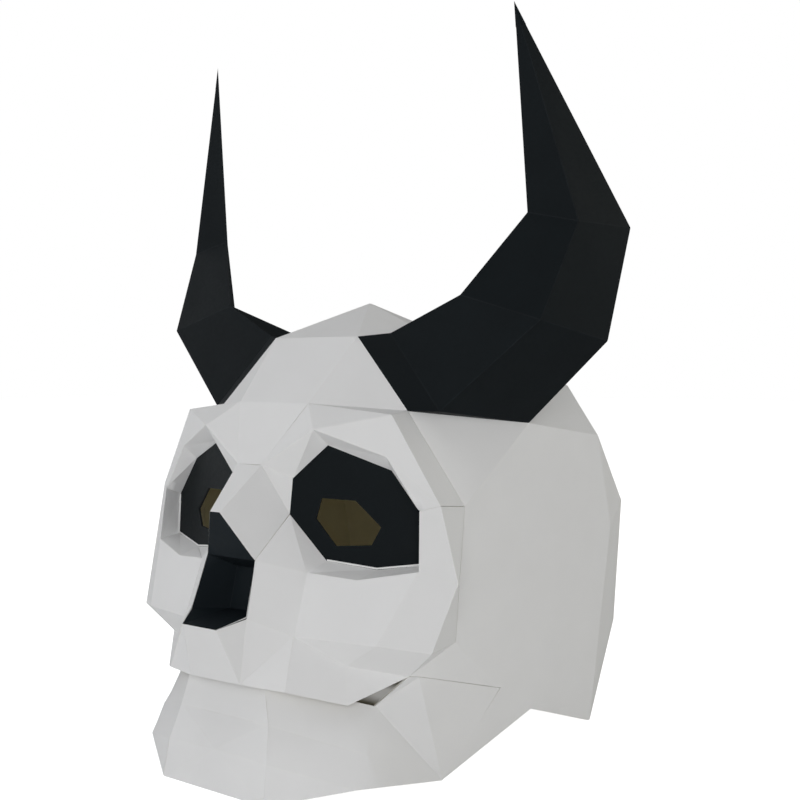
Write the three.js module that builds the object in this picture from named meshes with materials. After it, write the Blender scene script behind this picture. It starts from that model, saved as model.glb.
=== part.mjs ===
// Full-head skull mask folded from stiff card, standing on its own lower edges.
// Millimetres. +X is the wearer's left, -Y is the front, +Z is up, and the floor is Z = 0.
import * as THREE from "three";

const CARD = 1.2; // thickness of the card
const SEAM = 0.3; // gap left between two cards that meet along an edge
const LONGEST_MITRE = 8; // limit of a corner's mitre, in card thicknesses
const LONGEST_TRIM = 1.2; // limit of a corner's trim at a narrow point
const FLATTEN_ROUNDS = 150; // rounds of easing that make the panels flat

const WHITE = { color: 0xe8e7e3, roughness: 0.78, metalness: 0 };
const BLACK = { color: 0x1c1e1f, roughness: 0.62, metalness: 0 };

// Fold corners. A row gives a corner of the left half: its distance from the middle (half),
// forward of the head's centre (fore) and above the floor (up). A name ending in ~ is its mirror.
const corner = new Map();

function mirrored(name) {
  if (name.endsWith("~")) {
    return name.slice(0, -1);
  }
  return corner.get(name).x === 0 ? name : name + "~";
}

function addCorner(name, half, fore, up) {
  corner.set(name, new THREE.Vector3(half, -fore, up));
  if (half > 0) {
    corner.set(name + "~", new THREE.Vector3(-half, -fore, up));
  }
}

function addCorners(rows) {
  for (const [name, half, fore, up] of rows) {
    addCorner(name, half, fore, up);
  }
}

// Cards. A card is a list of flat facets; each facet is a loop of corners, anticlockwise from outside.
const cards = [];

function loopOf(text) {
  return text.split(" ");
}

function mirroredLoop(loop) {
  return loop.map(mirrored).reverse();
}

function mirroredFacet(facet) {
  return { loop: mirroredLoop(facet.loop), hole: mirroredLoop(facet.hole), twin: facet };
}

function facetsOf(loops) {
  return loops.map((text) => ({ loop: loopOf(text), hole: [] }));
}

function addCard(name, finish, facets) {
  cards.push({ name, finish, facets });
}

function addPair(name, finish, facets, rightOnly = []) {
  addCard(name + "_left", finish, facets);
  addCard(name + "_right", finish, [...facets.map(mirroredFacet), ...rightOnly]);
}

function addAcross(name, finish, middle, side) {
  addCard(name, finish, [...middle, ...side, ...side.map(mirroredFacet)]);
}

// Skull cap: forehead, crown and the rim of the two horn holes.
addCorners([
  // name, half, fore, up
  ["brow_mid", 25, 88, 199],
  ["horn_front", 30.5, 51.5, 235.5],
  ["horn_low", 69, 58, 195],
  ["horn_rear", 107, -5.5, 186.5],
  ["horn_top", 52, 8, 236],
  ["crown", 0, -1, 257.5],
  ["crown_rear", 86.5, -93.5, 206.5],
  ["side_top", 118.5, -73, 176.5],
  ["nape_top", 40, -128, 190],
]);
addAcross(
  "skull_cap",
  WHITE,
  facetsOf([
    "brow_mid~ brow_mid horn_front horn_front~",
    "crown horn_front~ horn_front",
    "nape_top nape_top~ crown",
  ]),
  facetsOf([
    "brow_mid horn_low horn_front",
    "horn_top crown horn_front",
    "horn_top crown_rear crown",
    "horn_rear crown_rear horn_top",
    "side_top crown_rear horn_rear",
    "crown_rear nape_top crown",
  ]),
);

// Back panel: plain facets from the crown down to the nape edge on the floor.
addCorners([
  // name, half, fore, up
  ["back_top", 115, -115, 132.5],
  ["back_low", 106.5, -123.5, 52.5],
  ["nape_mid", 41, -143.5, 125],
  ["nape_low", 44.5, -145.5, 46.5],
  ["nape_foot", 43.5, -107, 0],
  ["side_foot", 111.5, -75.5, 0],
]);
addAcross(
  "back_panel",
  WHITE,
  facetsOf([
    "nape_mid nape_mid~ nape_top~ nape_top",
    "nape_low nape_low~ nape_mid~ nape_mid",
    "nape_foot nape_foot~ nape_low~ nape_low",
  ]),
  facetsOf([
    "back_top nape_top crown_rear",
    "side_top back_top crown_rear",
    "back_top nape_mid nape_top",
    "back_low nape_low nape_mid back_top",
    "side_foot nape_foot nape_low back_low",
  ]),
);

// Side panels: temple triangle, big flat side, rear facets and the flap behind the mouth.
const MOUTH_FLAP_SHARE = 0.1; // where the jaw's fold meets the flap's lower edge
addCorners([
  // name, half, fore, up
  ["temple_back", 97.5, 46.5, 144.5],
  ["cheek_back", 93.5, 50.5, 72.5],
  ["cheek_low", 104.5, 89, 75.5],
  ["mouth_end", 86, 82, 61],
  ["jaw_rear", 99, 12, 39.5],
  ["jaw_angle", 93, 58.5, 0],
  ["side_notch", 102.5, -16, 21],
  ["side_back", 119, -90, 119.5],
]);
const jawRise = corner.get("mouth_end").clone().lerp(corner.get("jaw_rear"), MOUTH_FLAP_SHARE);
addCorner("jaw_rise", jawRise.x, -jawRise.y, jawRise.z);
addPair(
  "side_panel",
  WHITE,
  facetsOf([
    "temple_back horn_rear horn_low",
    "cheek_back jaw_rear jaw_angle side_notch side_foot side_back side_top horn_rear temple_back",
    "side_back back_top side_top",
    "side_foot back_low back_top side_back",
    "mouth_end jaw_rise jaw_rear cheek_back",
    "mouth_end cheek_back cheek_low",
  ]),
);

// Eye panels: one flat plane on each side, with a hexagonal hole to look through.
const EYE_FORE = 108; // how far forward the plane is at the middle of the face
const EYE_SWEEP = 0.43; // how much it falls back for each millimetre outward
const EYE_LEAN = -0.06; // how much it comes forward for each millimetre up
const EYE_LEVEL = 145; // height at which EYE_FORE is taken

function addOnEyePlane(rows) {
  for (const [name, half, up] of rows) {
    const fore = EYE_FORE - EYE_SWEEP * half + EYE_LEAN * (up - EYE_LEVEL);
    addCorner(name, half, fore, up);
  }
}

addOnEyePlane([
  // name, half, up
  ["panel_peak", 39.5, 177.5],
  ["panel_top", 71.5, 164.5],
  ["panel_side", 94.5, 141],
  ["panel_corner", 95, 117],
  ["panel_low", 65.5, 113],
  ["panel_inner", 40.5, 116.5],
  ["eye_inner", 22, 141],
  ["eye_inner_top", 22, 160],
  ["hole_top", 37, 149.5],
  ["hole_top_outer", 54, 148.5],
  ["hole_outer", 67, 135],
  ["hole_low_outer", 62.5, 125.5],
  ["hole_low", 45, 124.5],
  ["hole_inner", 34.5, 138.5],
]);
addPair("eye_panel", BLACK, [
  {
    loop: loopOf(
      "eye_inner_top eye_inner panel_inner panel_low panel_corner panel_side panel_top panel_peak",
    ),
    hole: loopOf("hole_top hole_top_outer hole_outer hole_low_outer hole_low hole_inner"),
  },
]);

// Brows: facets above and round the eyes with the upper walls of the sockets.
addCorners([
  // name, half, fore, up
  ["nasion", 7.5, 107, 166.5],
  ["brow_outer", 74, 80, 194],
  ["eye_peak", 38.5, 100, 186],
  ["eye_top", 74.5, 85.5, 172.5],
  ["eye_side", 92, 81.5, 145.5],
  ["temple_front", 101, 75, 148],
]);
addPair(
  "brow",
  WHITE,
  facetsOf([
    "eye_peak brow_outer brow_mid",
    "nasion eye_peak brow_mid",
    "eye_top temple_front brow_outer eye_peak",
    "eye_side temple_front eye_top",
    "eye_inner eye_inner_top nasion",
    "eye_inner_top eye_peak nasion",
    "eye_inner_top panel_peak eye_peak",
    "panel_peak panel_top eye_top",
    "panel_peak eye_top eye_peak",
    "panel_top panel_side eye_side",
    "panel_top eye_side eye_top",
  ]),
  facetsOf(["nasion~ nasion brow_mid brow_mid~"]),
);

// Temple bands: the step from the brow back to the forehead and temple.
addPair(
  "temple_band",
  WHITE,
  facetsOf(["brow_outer horn_low brow_mid", "temple_front temple_back horn_low brow_outer"]),
);

// Cheek bands: the step from the cheekbone back to the side panel.
addCorners([["cheek_point", 110.5, 73.5, 109.5]]);
addPair(
  "cheek_band",
  WHITE,
  facetsOf([
    "cheek_point temple_back temple_front",
    "cheek_point cheek_back temple_back",
    "cheek_low cheek_back cheek_point",
  ]),
);

// Cheeks: cheekbone, lower walls of the sockets and the tooth sides of the upper jaw.
addCorners([
  // name, half, fore, up
  ["eye_corner", 94, 84.5, 115],
  ["eye_low", 65, 100, 111],
  ["eye_inner_low", 37.5, 104.5, 112],
  ["cheek_fold", 81.5, 105, 80.5],
  ["jaw_fold", 61, 103, 66],
  ["lip_fold", 39.5, 118.5, 82],
  ["lip_corner", 41, 126.5, 55.5],
  ["lip_rear", 65, 106.5, 48],
]);
addPair(
  "cheek",
  WHITE,
  facetsOf([
    "eye_corner cheek_point temple_front eye_side",
    "lip_fold cheek_fold eye_corner eye_low eye_inner_low",
    "jaw_fold cheek_fold lip_fold",
    "cheek_fold cheek_low cheek_point eye_corner",
    "lip_corner lip_rear jaw_fold lip_fold",
    "mouth_end cheek_low cheek_fold jaw_fold",
    "lip_rear mouth_end jaw_fold",
    "panel_side panel_corner eye_corner",
    "panel_side eye_corner eye_side",
    "panel_corner panel_low eye_low",
    "panel_corner eye_low eye_corner",
    "panel_low panel_inner eye_inner_low",
    "panel_low eye_inner_low eye_low",
  ]),
);

// Upper jaw: both sides of the nose and the front lip.
addCorners([
  // name, half, fore, up
  ["nose_side", 16.5, 122, 119],
  ["nose_wing", 19, 130.5, 91],
  ["nose_sill", 12, 145.5, 87],
  ["lip_mid", 17.5, 134.5, 57.5],
]);
addAcross(
  "upper_jaw",
  WHITE,
  facetsOf(["lip_mid~ lip_mid nose_sill nose_sill~"]),
  facetsOf([
    "nose_side eye_inner_low eye_inner",
    "eye_inner_low panel_inner eye_inner",
    "nose_wing lip_fold eye_inner_low nose_side",
    "lip_mid lip_fold nose_wing",
    "nose_sill lip_mid nose_wing",
    "lip_mid lip_corner lip_fold",
  ]),
);

// Nose bridge: a narrow ridge facet with a diamond on each side.
addCorners([["nose_tip", 4.5, 134, 144.5]]);
addAcross(
  "nose_bridge",
  WHITE,
  facetsOf(["nose_tip~ nose_tip nasion nasion~"]),
  facetsOf(["nose_tip nose_side eye_inner nasion"]),
);

// Nose lining: the recessed cavity behind the nose opening.
addCorners([
  // name, half, fore, up
  ["nose_deep_top", 11, 105.5, 111],
  ["nose_deep_low", 12.5, 110, 88.5],
]);
addAcross(
  "nose_lining",
  BLACK,
  facetsOf([
    "nose_tip nose_tip~ nose_side~ nose_side",
    "nose_side nose_side~ nose_deep_top~ nose_deep_top",
    "nose_deep_top nose_deep_top~ nose_deep_low~ nose_deep_low",
    "nose_sill nose_deep_low nose_deep_low~ nose_sill~",
  ]),
  facetsOf([
    "nose_side nose_deep_top nose_deep_low nose_wing",
    "nose_wing nose_deep_low nose_sill",
  ]),
);

// Chin: front of the lower jaw, with a shallow point in its middle.
addCorners([
  // name, half, fore, up
  ["chin_top", 26, 125.5, 58.5],
  ["chin_fold", 30, 128.5, 37.5],
  ["chin_bend", 35, 134, 19.5],
  ["chin_foot", 36, 137.5, 0],
  ["chin_boss", 0, 135, 21.5],
]);
addAcross(
  "chin",
  WHITE,
  facetsOf([
    "chin_fold~ chin_fold chin_top chin_top~",
    "chin_boss chin_fold chin_fold~",
    "chin_boss chin_foot~ chin_foot",
  ]),
  facetsOf(["chin_boss chin_bend chin_fold", "chin_boss chin_foot chin_bend"]),
);

// Jaw sides: from the chin back to the jaw angle, up to the flap behind the mouth.
addCorners([
  // name, half, fore, up
  ["jaw_dip", 70.5, 90, 44.5],
  ["jaw_bulge_top", 74, 102, 23.5],
  ["jaw_bulge", 74.5, 111, 8.5],
  ["jaw_flank", 81.5, 102, 8.5],
]);
addPair(
  "jaw_side",
  WHITE,
  facetsOf([
    "chin_top chin_fold jaw_bulge_top",
    "chin_top jaw_bulge_top jaw_dip",
    "chin_fold jaw_bulge jaw_bulge_top",
    "chin_fold chin_bend jaw_bulge",
    "chin_bend chin_foot jaw_bulge",
    "jaw_bulge_top jaw_bulge jaw_flank",
    "jaw_bulge_top jaw_flank jaw_dip",
    "jaw_flank jaw_angle jaw_dip",
    "jaw_dip jaw_angle jaw_rise",
    "jaw_dip jaw_rise mouth_end",
    "jaw_rise jaw_angle jaw_rear",
  ]),
);

// Horns: four-sided tubes that bend up from the horn holes and end in a point.
// The edges of a section run round it: inner front, ridge, outer, back. The first two share a corner.
const HORN_SECTIONS = [
  ["horn_front", "horn_low", "horn_rear", "horn_top"],
  ["root_front", "root_ridge", "horn_rear", "root_back"],
  ["bend_front", "bend_ridge", "bend_outer", "bend_back"],
  ["neck_front", "neck_ridge", "neck_outer", "neck_back"],
];
const FIRST_REAR_EDGE = 2; // the faces from this edge on are behind, and have a fold across them
addCorners([
  // name, half, fore, up
  ["root_front", 44.5, 39.5, 237.5],
  ["root_ridge", 82.5, 48, 194.5],
  ["root_back", 59, 3, 240],
  ["bend_front", 85.5, 32, 257.5],
  ["bend_ridge", 135, 32.5, 242.5],
  ["bend_outer", 152, -12.5, 232],
  ["bend_back", 110.5, 2.5, 257],
  ["neck_front", 113, 6.5, 302.5],
  ["neck_ridge", 143.5, 6, 295.5],
  ["neck_outer", 157.5, -30.5, 294.5],
  ["neck_back", 137, -19, 294],
  ["horn_tip", 110.5, 16.5, 414.5],
]);

function hornFacets() {
  const loops = [];
  const last = HORN_SECTIONS.length - 1;
  for (let section = 0; section <= last; section += 1) {
    const low = HORN_SECTIONS[section];
    for (let edge = 0; edge < low.length; edge += 1) {
      const next = (edge + 1) % low.length;
      if (section === last) {
        loops.push(`${low[edge]} ${low[next]} horn_tip`);
      } else {
        const high = HORN_SECTIONS[section + 1];
        const names = [...new Set([low[edge], low[next], high[next], high[edge]])];
        if (names.length > 3 && edge >= FIRST_REAR_EDGE) {
          loops.push([names[0], names[1], names[2]].join(" "));
          loops.push([names[0], names[2], names[3]].join(" "));
        } else {
          loops.push(names.join(" "));
        }
      }
    }
  }
  return facetsOf(loops);
}

addPair("horn", BLACK, hornFacets());

// Facet planes and the edges that facets share.
function facetNormal(loop) {
  const normal = new THREE.Vector3();
  const middle = new THREE.Vector3();
  loop.forEach((name) => middle.addScaledVector(corner.get(name), 1 / loop.length));
  loop.forEach((name, i) => {
    const a = corner.get(name).clone().sub(middle);
    const b = corner.get(loop[(i + 1) % loop.length]).clone().sub(middle);
    normal.add(a.cross(b));
  });
  return normal.normalize();
}

// Card panels are flat: corners are eased from their measured places until every panel is.
// Corners on the floor stay there, and those on the middle line stay on it.
function easePanelsFlat(rounds) {
  const facets = cards.flatMap((card) => card.facets).filter((facet) => facet.loop.length > 3);
  for (let round = 0; round < rounds; round += 1) {
    const moves = new Map();
    for (const facet of facets) {
      const names = [...facet.loop, ...facet.hole];
      const normal = facetNormal(facet.loop);
      const middle = new THREE.Vector3();
      names.forEach((name) => middle.addScaledVector(corner.get(name), 1 / names.length));
      for (const name of names) {
        const off = corner.get(name).clone().sub(middle).dot(normal);
        moves.set(name, [...(moves.get(name) ?? []), normal.clone().multiplyScalar(-off)]);
      }
    }
    for (const [name, steps] of moves) {
      const point = corner.get(name);
      const held = { x: point.x === 0, z: point.z === 0 };
      steps.forEach((step) => point.addScaledVector(step, 1 / steps.length));
      point.x = held.x ? 0 : point.x;
      point.z = held.z ? 0 : point.z;
    }
  }
}

easePanelsFlat(FLATTEN_ROUNDS);

function loopEdges(loop) {
  return loop.map((name, i) => [name, loop[(i + 1) % loop.length]]);
}

const edgeOwners = new Map();
const normalsAt = new Map();
for (const card of cards) {
  for (const facet of card.facets) {
    facet.normal = facetNormal(facet.loop);
    for (const name of [...facet.loop, ...facet.hole]) {
      normalsAt.set(name, [...(normalsAt.get(name) ?? []), facet.normal]);
    }
    for (const edge of loopEdges(facet.loop)) {
      const key = [...edge].sort().join(" ");
      edgeOwners.set(key, [...(edgeOwners.get(key) ?? []), card.name]);
    }
  }
}

// Least-squares solution of rows [direction, value, weight] for one vector.
function solveVector(rows, damping) {
  const m = new THREE.Matrix3();
  const right = new THREE.Vector3();
  const sum = [damping, 0, 0, 0, damping, 0, 0, 0, damping];
  for (const [direction, value, weight] of rows) {
    const d = direction.toArray();
    for (let i = 0; i < 3; i += 1) {
      for (let j = 0; j < 3; j += 1) {
        sum[3 * i + j] += weight * d[i] * d[j];
      }
    }
    right.addScaledVector(direction, weight * value);
  }
  m.set(...sum);
  return right.applyMatrix3(m.invert());
}

// From a corner's outer point to its inner one: the same mitre for every card that meets there.
const mitreAt = new Map();
const UP = new THREE.Vector3(0, 0, 1);
for (const [name, normals] of normalsAt) {
  const rows = normals.map((normal) => [normal, 1, 1]);
  if (corner.get(name).z === 0) {
    rows.push([UP, 0, 100]);
  }
  mitreAt.set(name, solveVector(rows, 0.001).clampLength(0, LONGEST_MITRE));
}

// How far a card's corner is trimmed back so that a seam stays open along its edges.
function trimAt(name, card, boundary) {
  const rows = [];
  for (const facet of card.facets) {
    if (facet.loop.includes(name)) {
      rows.push([facet.normal, 0, 0.2]);
    }
  }
  for (const { edge, normal, shared } of boundary) {
    if (edge.includes(name)) {
      const along = corner.get(edge[1]).clone().sub(corner.get(edge[0]));
      const inward = normal.clone().cross(along).normalize();
      rows.push([inward, shared ? SEAM / 2 : 0, 1]);
    }
  }
  return solveVector(rows, 0.0001).clampLength(0, LONGEST_TRIM);
}

// Edges of a card that only one of its facets has, each in the direction of that facet's loop.
function boundaryOf(card) {
  const count = new Map();
  const keyOf = (edge) => [...edge].sort().join(" ");
  for (const facet of card.facets) {
    for (const edge of loopEdges(facet.loop)) {
      count.set(keyOf(edge), (count.get(keyOf(edge)) ?? 0) + 1);
    }
  }
  const boundary = [];
  for (const facet of card.facets) {
    for (const edge of loopEdges(facet.loop)) {
      if (count.get(keyOf(edge)) === 1) {
        const shared = edgeOwners.get(keyOf(edge)).length > 1;
        boundary.push({ edge, normal: facet.normal, shared });
      }
    }
    for (const edge of loopEdges(facet.hole)) {
      boundary.push({ edge, normal: facet.normal, shared: false });
    }
  }
  return boundary;
}

// Triangles of a facet as corner names, found in the facet's own plane. A mirrored facet uses its twin's.
function facetTriangles(facet) {
  if (facet.twin) {
    return facetTriangles(facet.twin).map(mirroredLoop);
  }
  const origin = corner.get(facet.loop[0]);
  const across = corner.get(facet.loop[1]).clone().sub(origin).normalize();
  const upward = facet.normal.clone().cross(across).normalize();
  const flat = (name) => {
    const p = corner.get(name).clone().sub(origin);
    return new THREE.Vector2(p.dot(across), p.dot(upward));
  };
  const names = [...facet.loop, ...facet.hole];
  const holes = facet.hole.length > 0 ? [facet.hole.map(flat)] : [];
  const found = THREE.ShapeUtils.triangulateShape(facet.loop.map(flat), holes);
  return found.map((triangle) => triangle.map((i) => names[i]));
}

// A card as a closed solid: outer face, inner face and the cut edges between them.
function cardGeometry(card) {
  const boundary = boundaryOf(card);
  const index = new Map();
  const outer = [];
  const inner = [];
  for (const facet of card.facets) {
    for (const name of [...facet.loop, ...facet.hole]) {
      if (!index.has(name)) {
        const point = corner.get(name).clone().add(trimAt(name, card, boundary));
        index.set(name, outer.length);
        outer.push(point);
        inner.push(point.clone().addScaledVector(mitreAt.get(name), -CARD));
      }
    }
  }
  const triangles = [];
  const inside = (name) => index.get(name) + outer.length;
  for (const facet of card.facets) {
    for (const [a, b, c] of facetTriangles(facet)) {
      triangles.push(index.get(a), index.get(b), index.get(c));
      triangles.push(inside(c), inside(b), inside(a));
    }
  }
  for (const { edge } of boundary) {
    const [a, b] = edge;
    if (a < b) {
      triangles.push(index.get(a), inside(a), inside(b));
      triangles.push(index.get(a), inside(b), index.get(b));
    } else {
      triangles.push(index.get(a), inside(a), index.get(b));
      triangles.push(index.get(b), inside(a), inside(b));
    }
  }
  const geometry = new THREE.BufferGeometry().setFromPoints([...outer, ...inner]);
  geometry.setIndex(triangles);
  return geometry;
}

const group = new THREE.Group();
group.name = "paper_skull_mask";
for (const card of cards) {
  const material = new THREE.MeshStandardMaterial({ ...card.finish, flatShading: true });
  const mesh = new THREE.Mesh(cardGeometry(card), material);
  mesh.name = card.name;
  group.add(mesh);
}

export default group;
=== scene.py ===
import math

import bmesh
import bpy
from mathutils import Matrix, Vector, noise
from mathutils.bvhtree import BVHTree
from mathutils.geometry import intersect_point_line


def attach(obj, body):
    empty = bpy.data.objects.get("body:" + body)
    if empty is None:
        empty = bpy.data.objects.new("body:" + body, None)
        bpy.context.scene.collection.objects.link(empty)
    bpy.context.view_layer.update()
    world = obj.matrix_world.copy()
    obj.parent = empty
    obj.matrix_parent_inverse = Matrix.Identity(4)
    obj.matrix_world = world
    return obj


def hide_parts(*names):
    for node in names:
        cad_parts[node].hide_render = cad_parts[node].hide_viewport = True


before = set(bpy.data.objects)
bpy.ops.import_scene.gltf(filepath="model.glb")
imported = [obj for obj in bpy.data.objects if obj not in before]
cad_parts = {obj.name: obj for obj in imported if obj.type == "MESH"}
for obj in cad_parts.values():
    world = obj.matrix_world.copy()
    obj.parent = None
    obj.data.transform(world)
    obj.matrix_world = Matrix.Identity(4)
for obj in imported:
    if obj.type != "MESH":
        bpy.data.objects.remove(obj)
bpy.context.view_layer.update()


# Skull cap: forehead and crown, one sheet of stiff card that is white outside and brown inside.
# It is scored and folded along straight creases, its edges are glued to the brows, sides and back,
# and the two horns stand in the holes on its slopes.
CREASE = 0.00035  # half width of a rounded fold
SHEET_STEP = 0.010  # longest edge of the sheet's own mesh
CUT_EDGE = 0.0042  # faces narrower than this are the card's cut edge
FLAT_MARGIN = 0.016  # a panel stays flat this close to its folds
POINT_LENGTH = 0.014  # folds stay sharp this close to a point
SEAM_REACH = 0.0008  # a cut edge that finds another card within this is glued to it
SEAM_CLOSE = 0.00012  # how far a glued edge reaches towards its neighbour
SEAM_START = 0.00002  # the search for a neighbour starts this far off a cut edge
SEAM_ROUNDS = 12
SEAM_LIMIT = 4.0 * SEAM_CLOSE
SAME_POINT = 0.000004  # corners closer than this are one
SAME_PLANE = math.radians(0.6)
POINT_ANGLE = math.radians(25)  # corners of the faces that run into a point are narrower than this
SCORED = 2.5  # degrees; facets that meet at less are one panel
BEND_ROUNDS = 10  # rounds of smoothing that spread a bend without a score line
DIVIDE_ROUNDS = 7
CURL_WIDE = 14.0  # waves of a panel's curl, and finer ones on top of them
CURL_FINE = 37.0
CURL_FINE_SHARE = 0.4
CURL_FINE_SHIFT = Vector((3, 1, 7))
LOOK_COUNT = 180  # directions in which a face looks for open air
LOOK_START = 0.0008
LOOK_REACH = 1.0
LOOK_GRAZING = 0.12  # looks that run flatter along the face than this don't count
LOOK_LOWEST = -0.2  # nor do looks that go down more steeply than this
OPEN_SHARE = 0.12  # a face that sees less open air than this is on the inside
OUTSIDE, INSIDE, EDGE, FOLD = range(4)
OPEN_SEAMS = (
    {"nose_bridge", "upper_jaw"},
    {"nose_bridge", "brow_right"},
    {"brow_left", "brow_right"},
    {"temple_band_left", "side_panel_left"},
    {"temple_band_left", "cheek_band_left"},
    {"cheek_band_left", "side_panel_left"},
    {"jaw_side_left", "side_panel_left"},
    {"chin", "jaw_side_right"},
)


def mask_shell():
    points = []
    faces = []
    owners = []
    for name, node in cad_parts.items():
        start = len(points)
        points += [v.co.copy() for v in node.data.vertices]
        faces += [[start + i for i in p.vertices] for p in node.data.polygons]
        owners += [name] * len(node.data.polygons)
    return BVHTree.FromPolygons(points, faces), owners


def look_directions(count):
    turn = math.pi * (3.0 - math.sqrt(5.0))
    looks = []
    for i in range(count):
        up = 1.0 - 2.0 * (i + 0.5) / count
        out = math.sqrt(1.0 - up * up)
        looks.append(Vector((out * math.cos(turn * i), out * math.sin(turn * i), up)))
    return looks


SHELL, SHELL_OWNERS = mask_shell()
LOOKS = look_directions(LOOK_COUNT)


def faces_the_head(face):
    seen = 0
    open_air = 0
    start = face.calc_center_median_weighted() + face.normal * LOOK_START
    for look in LOOKS:
        if look.dot(face.normal) > LOOK_GRAZING and look.z > LOOK_LOWEST:
            seen += 1
            if SHELL.ray_cast(start, look, LOOK_REACH)[0] is None:
                open_air += 1
    return open_air < OPEN_SHARE * seen


def face_width(face):
    longest = max(edge.calc_length() for edge in face.edges)
    return 2.0 * face.calc_area() / longest if len(face.verts) == 3 else face.calc_area() / longest


def sort_faces(sheet):
    for face in sheet.faces:
        if face_width(face) < CUT_EDGE:
            face.material_index = EDGE
        else:
            face.material_index = INSIDE if faces_the_head(face) else OUTSIDE


def seam_move(walls):
    """The smallest move that shifts each of a corner's glued edges by its own amount."""
    move = Vector()
    for _ in range(SEAM_ROUNDS):
        for normal, amount in walls:
            move += normal * (amount - move.dot(normal))
    return move if move.length < SEAM_LIMIT else move.normalized() * SEAM_LIMIT


def close_seams(sheet, node):
    walls = {}
    for face in sheet.faces:
        if face.material_index != EDGE:
            continue
        start = face.calc_center_median() + face.normal * SEAM_START
        place, _, index, _ = SHELL.ray_cast(start, face.normal, SEAM_REACH)
        glued = place is not None and {node, SHELL_OWNERS[index]} not in OPEN_SEAMS
        for vert in face.verts:
            walls.setdefault(vert, []).append((face.normal.copy(), SEAM_CLOSE if glued else 0.0))
    for vert, found in walls.items():
        vert.co += seam_move(found)


def is_point(vert):
    corners = [loop.calc_angle() for loop in vert.link_loops]
    return len(corners) > 2 and max(corners) < POINT_ANGLE


def sharpen_points(sheet):
    """Cut the folds that run into a point, so that only the part below it is rounded."""
    for vert in [v for v in sheet.verts if is_point(v)]:
        for edge in list(vert.link_edges):
            bmesh.utils.edge_split(edge, vert, POINT_LENGTH / edge.calc_length())


def is_fold(edge, bent):
    kinds = {face.material_index for face in edge.link_faces}
    if len(kinds) > 1 or EDGE in kinds or (bent and bent(edge)):
        return False
    return edge.calc_face_angle(0.0) > math.radians(SCORED)


def round_folds(sheet, bent):
    lowest = min(vert.co.z for vert in sheet.verts)
    folds = [e for e in sheet.edges if is_fold(e, bent) and not any(is_point(v) for v in e.verts)]
    made = bmesh.ops.bevel(
        sheet,
        geom=folds,
        offset=CREASE,
        segments=2,
        profile=0.5,
        affect="EDGES",
        clamp_overlap=False,
        material=-1,
    )
    for face in made["faces"]:
        if face.material_index == OUTSIDE:
            face.material_index = FOLD
    for vert in sheet.verts:
        vert.co.z = max(vert.co.z, lowest)


def divide(sheet):
    for _ in range(DIVIDE_ROUNDS):
        bmesh.ops.triangulate(sheet, faces=[f for f in sheet.faces if len(f.verts) > 3])
        long_edges = [e for e in sheet.edges if e.calc_length() > SHEET_STEP]
        if not long_edges:
            break
        bmesh.ops.subdivide_edges(sheet, edges=long_edges, cuts=1)
    bmesh.ops.triangulate(sheet, faces=[f for f in sheet.faces if len(f.verts) > 3])


def panel_borders(sheet, bent):
    borders = []
    for edge in sheet.edges:
        kinds = {face.material_index for face in edge.link_faces}
        if is_fold(edge, bent) or (EDGE in kinds and len(kinds) == 2):
            borders.append((edge.verts[0].co.copy(), edge.verts[1].co.copy()))
    return borders


def border_distance(point, borders):
    nearest = 1.0
    for a, b in borders:
        share = intersect_point_line(point, a, b)[1]
        share = min(1.0, max(0.0, share))
        nearest = min(nearest, (a.lerp(b, share) - point).length)
    return nearest


def spread_bends(sheet, borders):
    loose = []
    for vert in sheet.verts:
        kinds = {face.material_index for face in vert.link_faces}
        on_panel = kinds <= {OUTSIDE} or kinds <= {INSIDE}
        if on_panel and border_distance(vert.co, borders) > 2.0 * CREASE:
            loose.append(vert)
    for _ in range(BEND_ROUNDS):
        bmesh.ops.smooth_vert(
            sheet, verts=loose, factor=0.5, use_axis_x=True, use_axis_y=True, use_axis_z=True
        )


def curl_panels(sheet, borders, curl):
    sheet.normal_update()
    moves = []
    for vert in sheet.verts:
        kinds = {face.material_index for face in vert.link_faces}
        if kinds <= {OUTSIDE} or kinds <= {INSIDE}:
            reach = min(1.0, border_distance(vert.co, borders) / FLAT_MARGIN)
            ease = reach * reach * (3.0 - 2.0 * reach)
            outward = vert.normal if OUTSIDE in kinds else -vert.normal
            fine = noise.noise(vert.co * CURL_FINE + CURL_FINE_SHIFT)
            swell = noise.noise(vert.co * CURL_WIDE) + CURL_FINE_SHARE * fine
            moves.append((vert, outward * (curl * ease * swell)))
    for vert, move in moves:
        vert.co += move


def panel_normals(mesh):
    """Panels stay flat up to their folds, and only the folds themselves are shaded round."""
    panel = {}
    fold = {}
    for face in mesh.polygons:
        if face.material_index == EDGE:
            continue
        side = face.material_index == INSIDE
        store = fold if face.material_index == FOLD else panel
        for v in face.vertices:
            store[(v, side)] = store.get((v, side), Vector()) + face.normal * face.area
    normals = []
    for face in mesh.polygons:
        side = face.material_index == INSIDE
        for v in face.vertices:
            if face.material_index == EDGE:
                normals.append(face.normal.copy())
            else:
                normals.append((panel.get((v, side)) or fold[(v, side)]).normalized())
    return normals


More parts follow.
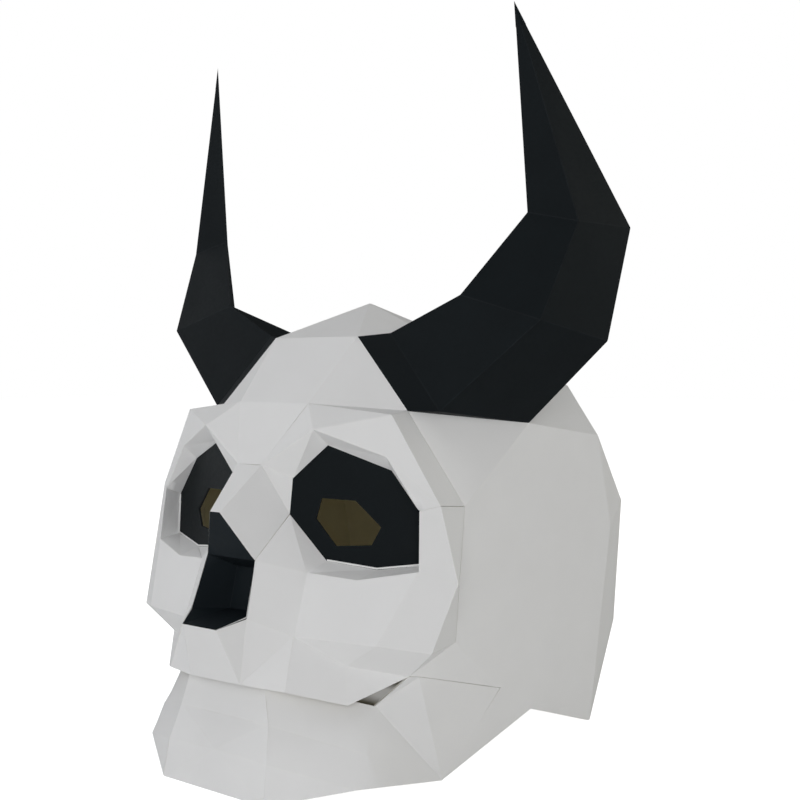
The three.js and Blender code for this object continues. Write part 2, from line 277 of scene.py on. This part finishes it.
def folded_card(node, finishes, curl, bent=None):
    """A card as a folded sheet, with its panels, rounded folds, cut edges and back.

    The finishes are those of the outside, the inside, the cut edge and the folds.
    Where bent is given, it tells which edges are bent by hand and have no fold.
    """
    sheet = bmesh.new()
    sheet.from_mesh(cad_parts[node].data)
    bmesh.ops.remove_doubles(sheet, verts=sheet.verts, dist=SAME_POINT)
    bmesh.ops.dissolve_limit(sheet, angle_limit=SAME_PLANE, verts=sheet.verts, edges=sheet.edges)
    sheet.normal_update()
    sort_faces(sheet)
    close_seams(sheet, node)
    sharpen_points(sheet)
    borders = panel_borders(sheet, bent)
    round_folds(sheet, bent)
    divide(sheet)
    if bent:
        spread_bends(sheet, borders)
    curl_panels(sheet, borders, curl)
    mesh = bpy.data.meshes.new(node + "_card")
    sheet.to_mesh(mesh)
    sheet.free()
    for finish in finishes:
        mesh.materials.append(finish)
    mesh.shade_smooth()
    mesh.normals_split_custom_set(panel_normals(mesh))
    card = bpy.data.objects.new(node + "_card", mesh)
    bpy.context.scene.collection.objects.link(card)
    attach(card, "root")
    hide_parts(node)


def card_surface_group():
    """Paper fibre and cloudy tone, shared by every card."""
    group = bpy.data.node_groups.new("card_surface", "ShaderNodeTree")
    face = group.interface
    face.new_socket("Colour", in_out="INPUT", socket_type="NodeSocketColor")
    face.new_socket("Cloud", in_out="INPUT", socket_type="NodeSocketFloat")
    face.new_socket("Rough Low", in_out="INPUT", socket_type="NodeSocketFloat")
    face.new_socket("Rough High", in_out="INPUT", socket_type="NodeSocketFloat")
    face.new_socket("Colour", in_out="OUTPUT", socket_type="NodeSocketColor")
    face.new_socket("Roughness", in_out="OUTPUT", socket_type="NodeSocketFloat")
    face.new_socket("Height", in_out="OUTPUT", socket_type="NodeSocketFloat")
    nodes = group.nodes
    link = group.links.new
    given = nodes.new("NodeGroupInput")
    result = nodes.new("NodeGroupOutput")
    place = nodes.new("ShaderNodeTexCoord")
    cloud = nodes.new("ShaderNodeTexNoise")
    cloud.inputs["Scale"].default_value = 42.0
    cloud.inputs["Detail"].default_value = 4.0
    fibre = nodes.new("ShaderNodeTexNoise")
    fibre.inputs["Scale"].default_value = 1500.0
    fibre.inputs["Detail"].default_value = 3.0
    felt = nodes.new("ShaderNodeTexNoise")
    felt.inputs["Scale"].default_value = 420.0
    felt.inputs["Detail"].default_value = 2.0
    for texture in (cloud, fibre, felt):
        link(place.outputs["Object"], texture.inputs["Vector"])
    low = nodes.new("ShaderNodeMath")
    low.operation = "SUBTRACT"
    low.inputs[0].default_value = 1.0
    link(given.outputs["Cloud"], low.inputs[1])
    high = nodes.new("ShaderNodeMath")
    high.operation = "ADD"
    high.inputs[0].default_value = 1.0
    link(given.outputs["Cloud"], high.inputs[1])
    shade = nodes.new("ShaderNodeMapRange")
    shade.inputs["From Min"].default_value = 0.25
    shade.inputs["From Max"].default_value = 0.75
    link(cloud.outputs["Fac"], shade.inputs["Value"])
    link(low.outputs[0], shade.inputs["To Min"])
    link(high.outputs[0], shade.inputs["To Max"])
    tint = nodes.new("ShaderNodeVectorMath")
    tint.operation = "SCALE"
    link(given.outputs["Colour"], tint.inputs[0])
    link(shade.outputs["Result"], tint.inputs["Scale"])
    link(tint.outputs["Vector"], result.inputs["Colour"])
    rough = nodes.new("ShaderNodeMapRange")
    link(felt.outputs["Fac"], rough.inputs["Value"])
    link(given.outputs["Rough Low"], rough.inputs["To Min"])
    link(given.outputs["Rough High"], rough.inputs["To Max"])
    link(rough.outputs["Result"], result.inputs["Roughness"])
    height = nodes.new("ShaderNodeMath")
    height.operation = "MULTIPLY_ADD"
    height.inputs[1].default_value = 0.6
    link(felt.outputs["Fac"], height.inputs[0])
    link(fibre.outputs["Fac"], height.inputs[2])
    link(height.outputs[0], result.inputs["Height"])
    return group


CARD_SURFACE = card_surface_group()


def card_finish(name, colour, cloud, rough, tooth, gloss):
    """A card's finish: colour, cloudiness, roughness range, tooth of the fibres and surface gloss."""
    finish = bpy.data.materials.new(name)
    finish.use_nodes = True
    nodes = finish.node_tree.nodes
    link = finish.node_tree.links.new
    shader = nodes["Principled BSDF"]
    shader.inputs["Specular IOR Level"].default_value = gloss
    surface = nodes.new("ShaderNodeGroup")
    surface.node_tree = CARD_SURFACE
    surface.name = "surface"
    surface.inputs["Colour"].default_value = (*colour, 1.0)
    surface.inputs["Cloud"].default_value = cloud
    surface.inputs["Rough Low"].default_value = rough[0]
    surface.inputs["Rough High"].default_value = rough[1]
    bump = nodes.new("ShaderNodeBump")
    bump.inputs["Strength"].default_value = tooth
    bump.inputs["Distance"].default_value = 0.0001
    link(surface.outputs["Colour"], shader.inputs["Base Color"])
    link(surface.outputs["Roughness"], shader.inputs["Roughness"])
    link(surface.outputs["Height"], bump.inputs["Height"])
    link(bump.outputs["Normal"], shader.inputs["Normal"])
    return finish


WHITE_FACE = card_finish(
    "white_card_face", (0.86, 0.86, 0.86), cloud=0.012, rough=(0.62, 0.78), tooth=0.12, gloss=0.35
)
WHITE_FOLD = card_finish(
    "white_card_fold", (0.86, 0.86, 0.855), cloud=0.03, rough=(0.55, 0.7), tooth=0.1, gloss=0.35
)
CARD_BACK = card_finish(
    "brown_card_back", (0.68, 0.62, 0.41), cloud=0.06, rough=(0.8, 0.95), tooth=0.3, gloss=0.2
)
WHITE_CUT = card_finish(
    "white_card_cut_edge", (0.84, 0.83, 0.80), cloud=0.05, rough=(0.8, 0.95), tooth=0.4, gloss=0.2
)
WHITE_CARD = (WHITE_FACE, CARD_BACK, WHITE_CUT, WHITE_FOLD)
folded_card("skull_cap", WHITE_CARD, curl=0.0005)


# Back panel: back of the head and nape, white card folded into plain facets.
# It closes the mask behind, is glued to the cap and sides, and stands on its lowest edge.
folded_card("back_panel", WHITE_CARD, curl=0.0006)


# Side panels: a big flat side with the temple triangle, rear facets and the flap behind the mouth.
# Each is one white card, scored where it folds and butted to the cheek bands along a visible seam.
for hand in ("left", "right"):
    folded_card("side_panel_" + hand, WHITE_CARD, curl=0.0009)


# Brows: the facets over and round each eye with the upper walls of its socket.
# White card; the right one also carries the facet between the brows, so one seam shows.
for hand in ("left", "right"):
    folded_card("brow_" + hand, WHITE_CARD, curl=0.0003)


# Temple bands: narrow strips that step from the brow back to the temple.
# White card, folded once over the end of the brow and butted to the side panel.
for hand in ("left", "right"):
    folded_card("temple_band_" + hand, WHITE_CARD, curl=0.0002)


# Cheek bands: narrow strips that step from the cheekbone back to the side panel.
# White card, folded at the cheekbone's point.
for hand in ("left", "right"):
    folded_card("cheek_band_" + hand, WHITE_CARD, curl=0.0002)


# Eye panels: flat black cards at the back of the sockets, each with a hexagonal hole to look through.
# The socket's white walls are glued round them.
BLACK_FACE = card_finish(
    "black_card_face", (0.0054, 0.0082, 0.0100), cloud=0.10, rough=(0.48, 0.62), tooth=0.25, gloss=0.10
)
# The fold finish is lighter than the face. Partly this is the pale core that shows where black card cracks
# at a fold, and partly it is a painted highlight along the fold.
BLACK_FOLD_CRACK_AND_HIGHLIGHT = card_finish(
    "black_card_fold_crack_and_highlight", (0.010, 0.013, 0.015), cloud=0.35, rough=(0.5, 0.7), tooth=0.3, gloss=0.10
)
BLACK_CUT = card_finish(
    "black_card_cut_edge", (0.016, 0.017, 0.018), cloud=0.2, rough=(0.7, 0.9), tooth=0.4, gloss=0.10
)
BLACK_BACK = card_finish(
    "black_card_back", (0.012, 0.013, 0.014), cloud=0.1, rough=(0.7, 0.85), tooth=0.3, gloss=0.10
)
BLACK_CARD = (BLACK_FACE, BLACK_BACK, BLACK_CUT, BLACK_FOLD_CRACK_AND_HIGHLIGHT)
for hand in ("left", "right"):
    folded_card("eye_panel_" + hand, BLACK_CARD, curl=0.0003)


# Socket tabs: the white edge of the glue tabs that hold the socket's lower and outer walls to each
# eye panel. It shows as a thin bright line along the panel's border.
TAB_WIDTH = 0.0009
TAB_RISE = 0.0003  # how far a tab stands out from the panel
TAB_SINK = 0.0002  # how deep a tab is set into the panel, so that it has no gap below it
HOLE_REACH = 0.021  # the panel's outer border is farther than this from its middle
LARGE_FACES = 8  # the panel's front is among this many of its largest faces


def panel_border(sheet):
    """The front of a flat panel: its normal, and its outer border's edges with their inward directions."""
    large = sorted(sheet.faces, key=lambda face: -face.calc_area())[:LARGE_FACES]
    front = min(large, key=lambda face: face.normal.y).normal
    edges = [e for e in sheet.edges if sum(f.normal.dot(front) > 0.99 for f in e.link_faces) == 1]
    corners = {vert for edge in edges for vert in edge.verts}
    middle = sum((vert.co for vert in corners), Vector()) / len(corners)
    border = []
    for edge in edges:
        start, end = (vert.co for vert in edge.verts)
        if ((start + end) / 2 - middle).length > HOLE_REACH:
            inward = front.cross(end - start).normalized()
            border.append((start, end, inward if inward.dot(middle - start) > 0 else -inward))
    return front, border


def socket_tabs(hand, outer):
    sheet = bmesh.new()
    sheet.from_mesh(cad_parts["eye_panel_" + hand].data)
    bmesh.ops.remove_doubles(sheet, verts=sheet.verts, dist=SAME_POINT)
    sheet.normal_update()
    front, border = panel_border(sheet)
    tabs = bmesh.new()
    for start, end, inward in border:
        below = inward.z > 0.75
        beside = inward.x * outer < -0.5 and abs(inward.z) < 0.3
        if not (below or beside):
            continue
        low = [start, end, end + inward * TAB_WIDTH, start + inward * TAB_WIDTH]
        verts = [tabs.verts.new(corner - front * TAB_SINK) for corner in low]
        verts += [tabs.verts.new(corner + front * TAB_RISE) for corner in low]
        for ring in ((0, 1, 2, 3), (4, 5, 6, 7), (0, 1, 5, 4), (1, 2, 6, 5), (2, 3, 7, 6), (3, 0, 4, 7)):
            tabs.faces.new([verts[i] for i in ring])
    bmesh.ops.recalc_face_normals(tabs, faces=tabs.faces)
    mesh = bpy.data.meshes.new("socket_tabs_" + hand)
    tabs.to_mesh(mesh)
    tabs.free()
    sheet.free()
    mesh.materials.append(WHITE_FOLD)
    strip = bpy.data.objects.new("socket_tabs_" + hand, mesh)
    bpy.context.scene.collection.objects.link(strip)
    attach(strip, "root")


for hand, outer in (("left", 1), ("right", -1)):
    socket_tabs(hand, outer)


# Cheeks: cheekbone, lower walls of the socket and the tooth side of the upper jaw.
# One white card a side, with the most folds of all, glued to the upper jaw along a long seam.
for hand in ("left", "right"):
    folded_card("cheek_" + hand, WHITE_CARD, curl=0.0004)


# Upper jaw: both sides of the nose and the front lip in one white card.
# It is folded at the lip's corners and glued to the cheeks and the nose.
folded_card("upper_jaw", WHITE_CARD, curl=0.0003)


# Nose bridge: a narrow ridge with a diamond on each side, white card.
# Its lower edges stand free over the nose opening.
folded_card("nose_bridge", WHITE_CARD, curl=0.0003)


# Nose lining: the recess behind the nose opening, folded from black card and glued behind the upper jaw
# and the nose bridge. Its black is a little lighter than that of the eye panels and horns.
NOSE_FACE = card_finish(
    "nose_card_face", (0.013, 0.018, 0.022), cloud=0.10, rough=(0.48, 0.62), tooth=0.25, gloss=0.10
)
folded_card("nose_lining", (NOSE_FACE, BLACK_BACK, BLACK_CUT, NOSE_FACE), curl=0.0002)


# Chin: front of the lower jaw, white card with a shallow point in its middle.
# The mask stands on its lower edge.
folded_card("chin", WHITE_CARD, curl=0.0003)


# Jaw sides: from the chin back to the jaw's angle, white card bent round the jaw by hand and scored at
# the chin and behind the bend. Glued to the chin and to the flap; the top edge is free under the lip.
JAW_BEND = 30.0  # degrees; sharper folds are scored
CHIN_BEND = 8.0  # the same for the folds that start at the chin's edge
CHIN_SIDE = (0.040, 0.045)  # these start nearer the middle and lower than this


def bent_round_the_jaw(edge):
    first = min(edge.verts, key=lambda vert: abs(vert.co.x)).co
    at_chin = abs(first.x) < CHIN_SIDE[0] and first.z < CHIN_SIDE[1]
    return edge.calc_face_angle(0.0) < math.radians(CHIN_BEND if at_chin else JAW_BEND)


for hand in ("left", "right"):
    folded_card("jaw_side_" + hand, WHITE_CARD, curl=0.0004, bent=bent_round_the_jaw)


# Horns: four-sided hollow tubes of black card, bent three times and closed to a point.
# They stand in the skull cap's holes and are glued to its edges.
for hand in ("left", "right"):
    folded_card("horn_" + hand, BLACK_CARD, curl=0.0008)


# Floor, light and camera: a plain white floor that fades into white surroundings, with a painted patch of
# light on the floor under the mask that shows through the mouth, soft lights all round, strongest from the
# camera's side and the front left, and the camera at the photograph's angle.
FLOOR_HALF = 6.0
FLOOR_GLOW = 0.06  # what the floor adds to the light from below
MASK_SHADE = (0.066, 0.125)  # half width and half depth of the dark floor under the mask
SHADE_EDGE = 0.85  # where its edge begins to fade, as a share of that
PAINTED_LIGHT_PLACE = (-0.010, 0.048)  # a painted patch of light inside that: the floor glows there with no lamp, and it shows through the mouth
PAINTED_LIGHT_REACH = (0.050, 0.020)
PAINTED_LIGHT_FADE = (0.5, 1.2)  # where the patch begins and ends to fade, as a share of its reach
PAINTED_LIGHT_GLOW = 0.25
ROOM_GLOW = 0.07  # what the surroundings add from all sides
floor_mesh = bpy.data.meshes.new("floor")
floor_mesh.from_pydata(
    [(x * FLOOR_HALF, y * FLOOR_HALF, 0) for x, y in ((-1, -1), (1, -1), (1, 1), (-1, 1))],
    [],
    [(0, 1, 2, 3)],
)
floor = bpy.data.objects.new("floor", floor_mesh)
floor_paint = bpy.data.materials.new("white_floor")
floor_paint.use_nodes = True
floor_nodes = floor_paint.node_tree.nodes
floor_link = floor_paint.node_tree.links.new
floor_shader = floor_nodes["Principled BSDF"]
floor_shader.inputs["Base Color"].default_value = (0.85, 0.85, 0.85, 1)
floor_shader.inputs["Roughness"].default_value = 0.9
floor_shader.inputs["Emission Color"].default_value = (1, 1, 1, 1)
floor_place = floor_nodes.new("ShaderNodeTexCoord")


def floor_distance(middle, reach):
    """How far a place on the floor is from the middle of an ellipse, as a share of its reach."""
    away = floor_nodes.new("ShaderNodeVectorMath")
    away.operation = "SUBTRACT"
    away.inputs[1].default_value = (*middle, 0.0)
    share = floor_nodes.new("ShaderNodeVectorMath")
    share.operation = "DIVIDE"
    share.inputs[1].default_value = (*reach, 1.0)
    length = floor_nodes.new("ShaderNodeVectorMath")
    length.operation = "LENGTH"
    floor_link(floor_place.outputs["Object"], away.inputs[0])
    floor_link(away.outputs["Vector"], share.inputs[0])
    floor_link(share.outputs["Vector"], length.inputs[0])
    return length.outputs["Value"]


floor_open = floor_nodes.new("ShaderNodeMapRange")
floor_open.inputs["From Min"].default_value = SHADE_EDGE
floor_link(floor_distance((0.0, 0.0), MASK_SHADE), floor_open.inputs["Value"])
floor_rays = floor_nodes.new("ShaderNodeLightPath")
floor_seen = floor_nodes.new("ShaderNodeMapRange")
floor_seen.inputs["To Min"].default_value = FLOOR_GLOW
floor_link(floor_rays.outputs["Is Camera Ray"], floor_seen.inputs["Value"])
floor_link(floor_open.outputs["Result"], floor_seen.inputs["To Max"])
# Painted light: the floor glows in a patch under the mask. The camera sees it through the mouth, and it
# lights the inside, though there is no lamp there.
floor_painted_light = floor_nodes.new("ShaderNodeMapRange")
floor_painted_light.inputs["From Min"].default_value = PAINTED_LIGHT_FADE[0]
floor_painted_light.inputs["From Max"].default_value = PAINTED_LIGHT_FADE[1]
floor_painted_light.inputs["To Min"].default_value = PAINTED_LIGHT_GLOW
floor_painted_light.inputs["To Max"].default_value = 0.0
floor_link(floor_distance(PAINTED_LIGHT_PLACE, PAINTED_LIGHT_REACH), floor_painted_light.inputs["Value"])
floor_glow = floor_nodes.new("ShaderNodeMath")
floor_glow.operation = "ADD"
floor_link(floor_seen.outputs["Result"], floor_glow.inputs[0])
floor_link(floor_painted_light.outputs["Result"], floor_glow.inputs[1])
floor_link(floor_glow.outputs["Value"], floor_shader.inputs["Emission Strength"])
floor_mesh.materials.append(floor_paint)
bpy.context.scene.collection.objects.link(floor)

room = bpy.data.worlds.new("white_room")
room.use_nodes = True
room_nodes = room.node_tree.nodes
room_link = room.node_tree.links.new
room_nodes["Background"].inputs["Color"].default_value = (1, 1, 1, 1)
room_rays = room_nodes.new("ShaderNodeLightPath")
room_glow = room_nodes.new("ShaderNodeMapRange")
room_glow.inputs["To Min"].default_value = ROOM_GLOW
room_link(room_rays.outputs["Is Camera Ray"], room_glow.inputs["Value"])
room_link(room_glow.outputs["Result"], room_nodes["Background"].inputs["Strength"])
bpy.context.scene.world = room
bpy.context.scene.view_settings.view_transform = "Standard"


LIGHT_AIM = Vector((0, 0, 0.15))
LIGHT_SIZE = 1.4


def soft_light(name, place, power, colour):
    lamp = bpy.data.lights.new(name, "AREA")
    lamp.shape = "SQUARE"
    lamp.size = LIGHT_SIZE
    lamp.energy = power
    lamp.color = colour
    light = bpy.data.objects.new(name, lamp)
    light.location = place
    light.rotation_euler = (LIGHT_AIM - Vector(place)).to_track_quat("-Z", "Y").to_euler()
    light.visible_camera = False
    bpy.context.scene.collection.objects.link(light)


WHITE_LIGHT = (1.0, 1.0, 1.0)
WARM_LIGHT = (1.0, 0.99, 0.91)
COOL_LIGHT = (0.985, 1.0, 1.02)
soft_light("front_left_light", (-1.3, -1.9, 1.0), 10.5, COOL_LIGHT)
soft_light("camera_light", (1.3, -1.8, 0.5), 20.0, WHITE_LIGHT)
soft_light("back_right_light", (1.6, 1.5, 0.9), 10.5, WARM_LIGHT)
soft_light("top_light", (0.0, -0.2, 2.2), 9.0, WHITE_LIGHT)
soft_light("left_light", (-2.1, -0.2, 0.7), 6.5, COOL_LIGHT)

CAMERA_PLACE = (0.3972, -0.5293, 0.2188)
CAMERA_TURN = math.radians(35.27)
CAMERA_DIP = math.radians(1.80)
CAMERA_ROLL = math.radians(-0.23)
camera = bpy.data.objects.new("camera", bpy.data.cameras.new("camera"))
camera.data.sensor_width = 36.0
camera.data.lens = 48.46
camera.data.clip_start = 0.01
camera.matrix_world = (
    Matrix.Translation(CAMERA_PLACE)
    @ Matrix.Rotation(CAMERA_TURN, 4, "Z")
    @ Matrix.Rotation(math.pi / 2 - CAMERA_DIP, 4, "X")
    @ Matrix.Rotation(CAMERA_ROLL, 4, "Z")
)
bpy.context.scene.collection.objects.link(camera)
bpy.context.scene.camera = camera
